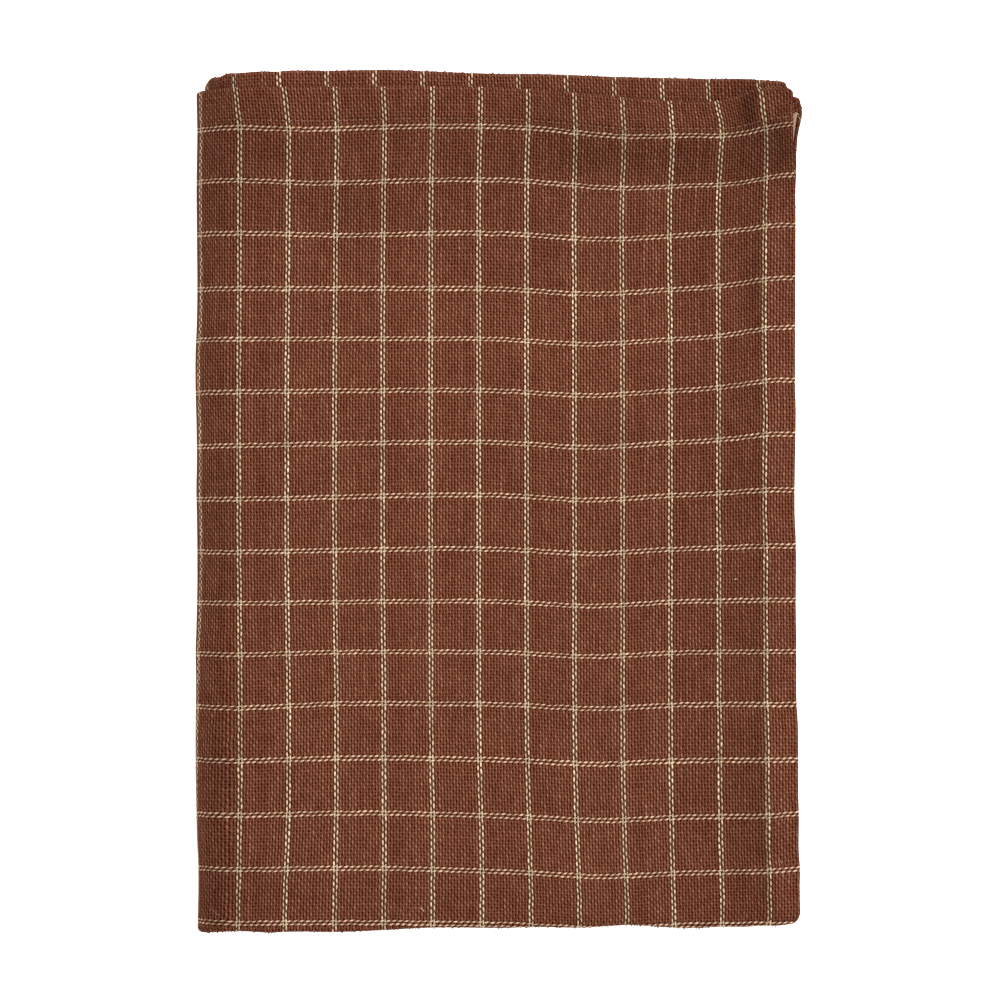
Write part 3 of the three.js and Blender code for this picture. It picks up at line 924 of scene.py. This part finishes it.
def repeatTree(name, sizes):
    # A tree that repeats one shape, with an input for each of its sizes and one for its material
    tree = bpy.data.node_groups.new(name, "GeometryNodeTree")
    inputs = {"Geometry": "Geometry"} | dict.fromkeys(sizes, "Float") | {"Finish": "Material"}
    for socket, kind in inputs.items():
        tree.interface.new_socket(socket, in_out="INPUT", socket_type="NodeSocket" + kind)
    tree.interface.new_socket("Geometry", in_out="OUTPUT", socket_type="NodeSocketGeometry")
    return tree, addNode(tree, "NodeGroupInput").outputs


def finishTree(tree, placed, finish):
    real = addNode(tree, "GeometryNodeRealizeInstances", (placed,))
    finished = addNode(tree, "GeometryNodeSetMaterial", {"Geometry": real, "Material": finish})
    addNode(tree, "NodeGroupOutput", (finished,))
    return tree


def stitchTree():
    tree, given = repeatTree("running stitches", ("Pitch", "Stitch length", "Thread radius"))
    line = {"Curve": given["Geometry"], "Length": given["Pitch"]}
    points = addNode(tree, "GeometryNodeCurveToPoints", line, mode="LENGTH")
    stem = addNode(tree, "GeometryNodeMeshUVSphere", {"Segments": 8, "Rings": 6, "Radius": 1.0})
    half = addNode(tree, "ShaderNodeMath", (given["Stitch length"], 0.5), operation="MULTIPLY")
    radius = given["Thread radius"]
    size = addNode(tree, "ShaderNodeCombineXYZ", (half, radius, radius))
    least, most = stitch["uneven"]
    jitter = {0: least, 1: most, "Seed": stitch["seed"]}
    jitter = addNode(tree, "FunctionNodeRandomValue", jitter, data_type="FLOAT_VECTOR")
    uneven = addNode(tree, "ShaderNodeVectorMath", (size, jitter), operation="MULTIPLY")
    tangent = points.outputs["Tangent"]
    turn = addNode(tree, "FunctionNodeAlignRotationToVector", {"Vector": tangent}, axis="X")
    copies = {"Points": points, "Instance": stem, "Rotation": turn, "Scale": uneven}
    placed = addNode(tree, "GeometryNodeInstanceOnPoints", copies)
    return finishTree(tree, placed, given["Finish"])


def guideCurve(name, lines):
    curve = bpy.data.curves.new(name, "CURVE")
    curve.dimensions = "3D"
    for line in lines:
        spline = curve.splines.new("POLY")
        spline.points.add(len(line) - 1)
        placed = np.concatenate([inFrame(line), np.ones((len(line), 1))], axis=1)
        spline.points.foreach_set("co", placed.ravel())
    return newObject(name + "_guide", curve)


def plainMesh(name, guide, tree=None, values=()):
    # The guide with its modifier as a plain mesh. The guide goes.
    if tree:
        modifier = guide.modifiers.new("repeat", "NODES")
        modifier.node_group = tree
        for item in tree.interface.items_tree:
            if item.in_out == "INPUT" and item.name in values:
                modifier[item.identifier] = values[item.name]
    evaluated = guide.evaluated_get(bpy.context.evaluated_depsgraph_get())
    mesh = bpy.data.meshes.new_from_object(evaluated)
    mesh.name = name
    bpy.data.objects.remove(guide)
    return newObject(name, mesh)


def sewAlong(name, lines, thread):
    # Stitches along lines of points
    values = {
        "Pitch": stitch["pitch"] * metres,
        "Stitch length": stitch["length"] * metres,
        "Thread radius": stitch["radius"] * metres,
        "Finish": thread,
    }
    return plainMesh(name, guideCurve(name, lines), stitchTree(), values)


print("sewing")
isTop = stops["onTop"][:, 0] > 0.5
columnA = columns["ply"] == "a"
hemColumn = np.argmin(np.abs(columns["t"] * cloth["plyLength"] - stitch["fromEdge"]) + 1e3 * ~columnA)
sideRow = np.argmin(np.abs(stops["x"][:, 0] - cloth["sideHemX"] + hem["depth"]) + 1e3 * ~isTop)
farLine = faceGrid[isTop, hemColumn] + (0, 0, stitch["lift"])
sideLine = faceGrid[sideRow, columnA][stitch["skipped"] :] + (0, 0, stitch["lift"])
thread = sewingThread("brown cotton sewing thread", *stitch["colour"])
stitches = sewAlong("hem_stitches", [farLine, sideLine], thread)

# Where the yarns turn over an edge or a fold each one shows as a small round crown, some more and some
# less, which makes the outline knobbly. One line of crowns lies along each of the upper edges.
crown = {
    "radius": 0.5,
    "uneven": ((0.6, 0.55, 0.7), (1.2, 1.35, 1.1)),
    "sizeSeed": 9,
    "deepest": 0.6,
    "seed": 7,
    "nearColumn": 3,
    "farColumn": 2,
    "lastPlyFrom": 100.0,
    "brown": ("#93614c", "#5f3525"),
    "cream": ("#ecc9aa", "#a98a68"),
}


def crownTree():
    tree, given = repeatTree("yarn crowns", ("Yarn radius",))
    ball = addNode(tree, "GeometryNodeMeshUVSphere", {"Segments": 7, "Rings": 5, "Radius": 1.0})
    least, most = crown["uneven"]
    jitter = {0: least, 1: most, "Seed": crown["sizeSeed"]}
    jitter = addNode(tree, "FunctionNodeRandomValue", jitter, data_type="FLOAT_VECTOR")
    size = {0: jitter, 3: given["Yarn radius"]}
    size = addNode(tree, "ShaderNodeVectorMath", size, operation="SCALE")
    copies = {"Points": given["Geometry"], "Instance": ball, "Scale": size}
    placed = addNode(tree, "GeometryNodeInstanceOnPoints", copies)
    return finishTree(tree, placed, given["Finish"])


def crownPlaces(line, counts, inward):
    # The middle of each yarn along an edge, and whether it is a cream one
    way = np.sign(counts[-1] - counts[0])
    yarns = np.arange(math.ceil(min(counts[0], counts[-1])), math.floor(max(counts[0], counts[-1])))
    rising = counts[::-1] if way < 0 else counts
    points = line[::-1] if way < 0 else line
    places = np.stack([np.interp(yarns + 0.5, rising, points[:, k]) for k in range(3)], axis=-1)
    deep = np.random.default_rng(crown["seed"]).uniform(0, crown["deepest"], (len(places), 1))
    return places + deep * inward, yarns % weave["repeat"] < weave["creamYarns"]


def edgeYarns():
    names = columns["ply"]
    middle = (faceGrid + backGrid) / 2
    upper = stops["pass"][:, 0] < 0.5
    nearTop = np.where(names == "ab")[0][crown["nearColumn"]]
    farTop = np.where(names == "bc")[0][crown["farColumn"]]
    isA = names == "a"
    isD = (names == "d") & (middle[0, :, 1] > crown["lastPlyFrom"])
    edges = [
        (middle[upper, 0], threadGrid[upper, 0, 0], (0, -1, 0)),
        (faceGrid[upper, nearTop], threadGrid[upper, nearTop, 0], (0, 1, 0)),
        (faceGrid[upper, farTop], threadGrid[upper, farTop, 0], (0, -1, 0)),
        (middle[0, isA], threadGrid[0, isA, 1], (-1, 0, 0)),
        (middle[0, isD], threadGrid[0, isD, 1], (-1, 0, 0)),
    ]
    found = [crownPlaces(*edge) for edge in edges]
    places = np.concatenate([one[0] for one in found])
    isCream = np.concatenate([one[1] for one in found])
    made = []
    for name, chosen in (("brown", ~isCream), ("cream", isCream)):
        mesh = bpy.data.meshes.new(name)
        mesh.from_pydata(inFrame(places[chosen]).tolist(), [], [])
        guide = newObject("crowns_guide", mesh)
        yarn = sewingThread(name + " cotton yarn", *crown[name])
        values = {"Yarn radius": crown["radius"] * metres, "Finish": yarn}
        made.append(plainMesh("edge_yarns_" + name, guide, crownTree(), values))
    return made


print("edge yarns")
crowns = edgeYarns()

# A few stray fibres and nubs of pale cotton lie on the cloth
fibres = {
    "colour": ("#e9d3bb", "#c3a68a"),
    "points": 9,
    "taper": (0.15, 0.85),
    "lines": [
        {"from": (98.1, -32.6), "to": (99.2, -32.3), "bow": 0.1, "radius": 0.26},
        {"from": (-32.7, -169.4), "to": (-31.1, -171.0), "bow": 0.3, "radius": 0.2},
        {"from": (-119.8, -169.8), "to": (-116.0, -173.6), "bow": -0.2, "radius": 0.04},
        {"from": (116.3, -149.4), "to": (117.9, -151.0), "bow": 0.4, "radius": 0.09},
    ],
}


def strayFibres():
    lines = []
    surface = faceGrid[isTop][:, columnA].reshape(-1, 3)
    for fibre in fibres["lines"]:
        start, end = np.array(fibre["from"]), np.array(fibre["to"])
        share = np.linspace(0, 1, fibres["points"])[:, None]
        side = np.array([start[1] - end[1], end[0] - start[0]]) / np.linalg.norm(end - start)
        flat = start + (end - start) * share + side * fibre["bow"] * np.sin(share * math.pi)
        nearest = [np.argmin(np.hypot(*(surface[:, :2] - place).T)) for place in flat]
        up = surface[nearest, 2:] + fibre["radius"]
        lines.append(np.concatenate([flat, up], axis=1))
    guide = guideCurve("stray_fibres", lines)
    guide.data.bevel_depth = metres
    guide.data.bevel_resolution = 1
    guide.data.use_fill_caps = True
    for spline, fibre in zip(guide.data.splines, fibres["lines"], strict=True):
        thick = fibre["radius"] * np.sin(np.linspace(*fibres["taper"], fibres["points"]) * math.pi)
        spline.points.foreach_set("radius", thick)
    made = plainMesh("stray_fibres", guide)
    made.data.materials.clear()
    made.data.materials.append(sewingThread("pale cotton fibre", *fibres["colour"]))
    return made


print("stray fibres")
strays = strayFibres()

trimmings = [stitches, *crowns, strays]
for piece in (tablecloth, tape, *trimmings):
    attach(piece, "root")
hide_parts("tablecloth")
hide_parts("side_tab")

print("studio")
studio = {
    "floor": "#fbfaf8",
    "floorGlow": 0.9,
    "floorSize": 4.0,
    "floorBelow": 0.4,
    "sky": 0.85,
    "skySide": (0.56, 0.42, 0.0),
    "keyPlace": (1.7, 1.2, 1.7),
    "key": 22.0,
    "keySize": 1.4,
}
ground = bpy.data.meshes.new("floor")
h = studio["floorSize"] / 2
ground.from_pydata([(-h, -h, 0), (h, -h, 0), (h, h, 0), (-h, h, 0)], [], [(0, 1, 2, 3)])
floor = newObject("floor", ground)
floor.location.z = -studio["floorBelow"] * metres
paper, paperTree = newMaterial("matt white paper")
matt = {"Base Color": linear(studio["floor"]), "Roughness": 1.0, "Specular IOR Level": 0.0}
glow = {"Emission Color": (1, 1, 1, 1), "Emission Strength": studio["floorGlow"]}
shadeWith(paperTree, matt | glow)
floor.data.materials.append(paper)

world = bpy.data.worlds.new("soft studio")
world.use_nodes = True
sky = world.node_tree
sky.nodes["Background"].inputs["Color"].default_value = (1, 1, 1, 1)
way = addNode(sky, "ShaderNodeTexCoord").outputs["Generated"]
toSide = addNode(sky, "ShaderNodeVectorMath", (way, studio["skySide"]), operation="DOT_PRODUCT")
fromSide = (toSide.outputs["Value"], studio["sky"], studio["sky"])
brightness = addNode(sky, "ShaderNodeMath", fromSide, operation="MULTIPLY_ADD")
sky.links.new(brightness.outputs[0], sky.nodes["Background"].inputs["Strength"])
bpy.context.scene.world = world
bpy.context.scene.view_settings.view_transform = "Standard"

key = bpy.data.lights.new("key", "AREA")
key.shape = "SQUARE"
key.size = studio["keySize"]
key.energy = studio["key"]
lamp = newObject("key", key)
lamp.location = studio["keyPlace"]
lamp.rotation_euler = (-Vector(studio["keyPlace"])).to_track_quat("-Z", "Y").to_euler()

# The picture is square, and shows the top of the stack at this many pixels to a millimetre
camera = {
    "distance": 3000.0,
    "sensor": 36.0,
    "pixels": 1000,
    "pixelsPerMm": 2.4,
    "middle": (0.646, 0.583),
    "top": 37.3,
}
lens = bpy.data.cameras.new("camera")
lens.sensor_width = camera["sensor"]
lens.lens = camera["sensor"] * camera["distance"] * camera["pixelsPerMm"] / camera["pixels"]
lens.clip_end = 20.0
viewer = newObject("camera", lens)
viewer.location = inFrame((*camera["middle"], camera["distance"] + camera["top"]))
bpy.context.scene.camera = viewer
